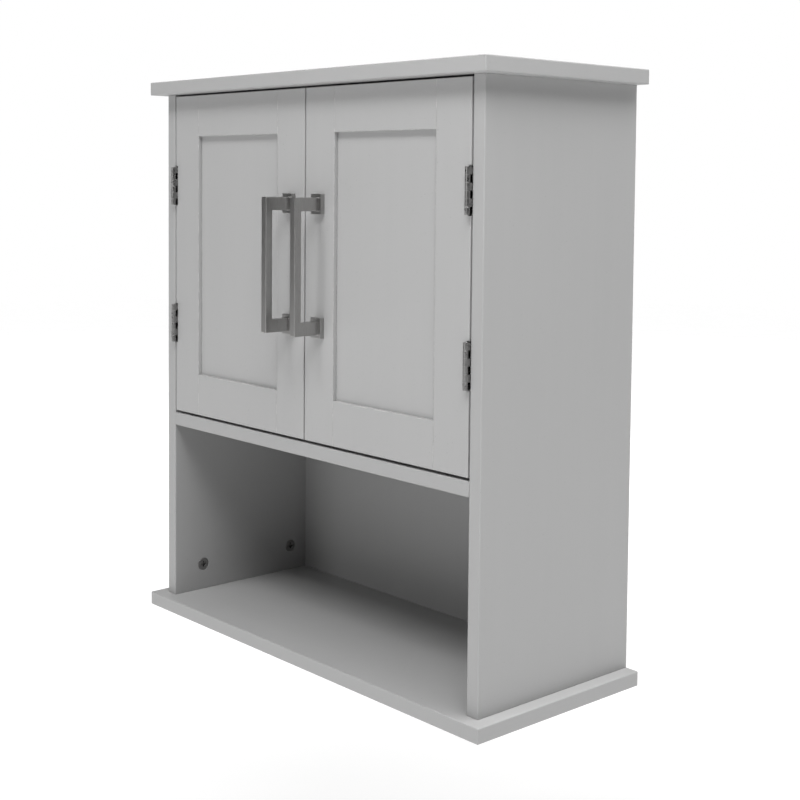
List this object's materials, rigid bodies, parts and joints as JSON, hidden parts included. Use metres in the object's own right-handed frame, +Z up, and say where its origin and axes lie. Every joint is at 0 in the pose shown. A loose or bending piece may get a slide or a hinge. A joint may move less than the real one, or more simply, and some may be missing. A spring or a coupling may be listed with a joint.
{
  "type": "hanging wall cabinet",
  "caption": "Grey wall cabinet with framed double doors above an open bay, square bar handles, butt hinges and a hanging rail.",
  "frame": {"origin": "on the wall plane, midway between the two wall-screw holes of the hanging rail", "axes": "+X to the right of someone facing the doors, +Y into the wall, +Z up"},
  "size_m": [0.555, 0.25, 0.624],
  "materials": {
    "carcase_paint": "satin grey paint on fibreboard",
    "door_paint": "satin grey paint on fibreboard",
    "back_paint": "grey painted hardboard",
    "rail_board": "satin grey paint on fibreboard",
    "beech": "bare fluted beech",
    "zinc": "zinc die casting",
    "brushed_nickel": "brushed nickel",
    "hinge_nickel": "satin nickel plate",
    "screw_steel": "nickel-plated steel",
    "strike_steel": "zinc-plated steel",
    "catch_plastic": "white moulded plastic",
    "magnet": "sintered ferrite"
  },
  "bodies": {
    "carcase": {"top_board": "carcase_paint", "bottom_board": "carcase_paint", "left_side_panel": "carcase_paint", "right_side_panel": "carcase_paint", "middle_shelf": "carcase_paint", "adjustable_shelf": "carcase_paint", "back_panel": "back_paint", "hanging_rail": "rail_board", "lower_rail": "rail_board", "bottom_cam_bolts": "zinc", "bottom_cam_nuts": "zinc", "bottom_dowels": "beech", "top_cam_bolts": "zinc", "top_cam_nuts": "zinc", "top_dowels": "beech", "shelf_cam_bolts": "zinc", "shelf_cam_nuts": "zinc", "shelf_dowels": "beech", "rail_cam_bolts": "zinc", "rail_cam_nuts": "zinc", "rail_dowels": "beech", "catch_housing": "catch_plastic", "catch_magnets": "magnet", "catch_pole_plates": "strike_steel", "catch_screws": "screw_steel", "shelf_pegs": "zinc", "cabinet_hinge_screws": "screw_steel", "left_upper_hinge_cabinet_leaf": "hinge_nickel", "left_upper_hinge_pin": "hinge_nickel", "left_lower_hinge_cabinet_leaf": "hinge_nickel", "left_lower_hinge_pin": "hinge_nickel", "right_upper_hinge_cabinet_leaf": "hinge_nickel", "right_upper_hinge_pin": "hinge_nickel", "right_lower_hinge_cabinet_leaf": "hinge_nickel", "right_lower_hinge_pin": "hinge_nickel"},
    "left_door": {"left_door_hinge_stile": "door_paint", "left_door_inner_stile": "door_paint", "left_door_top_rail": "door_paint", "left_door_bottom_rail": "door_paint", "left_door_panel": "door_paint", "left_upper_hinge_door_leaf": "hinge_nickel", "left_lower_hinge_door_leaf": "hinge_nickel", "left_handle": "brushed_nickel", "left_strike_plate": "strike_steel", "left_strike_screw": "screw_steel", "left_handle_screws": "screw_steel", "left_door_hinge_screws": "screw_steel"},
    "right_door": {"right_door_hinge_stile": "door_paint", "right_door_inner_stile": "door_paint", "right_door_top_rail": "door_paint", "right_door_bottom_rail": "door_paint", "right_door_panel": "door_paint", "right_upper_hinge_door_leaf": "hinge_nickel", "right_lower_hinge_door_leaf": "hinge_nickel", "right_handle": "brushed_nickel", "right_strike_plate": "strike_steel", "right_strike_screw": "screw_steel", "right_handle_screws": "screw_steel", "right_door_hinge_screws": "screw_steel"}
  },
  "joints": [
    {"name": "left_door_hinge", "type": "hinge", "parent": "carcase", "child": "left_door", "pos_m": [-0.2448, -0.2187, -0.1515], "axis": [0, 0, -1], "range_deg": [0, 180]},
    {"name": "right_door_hinge", "type": "hinge", "parent": "carcase", "child": "right_door", "pos_m": [0.2448, -0.2187, -0.1515], "axis": [0, 0, 1], "range_deg": [0, 180]}
  ]
}
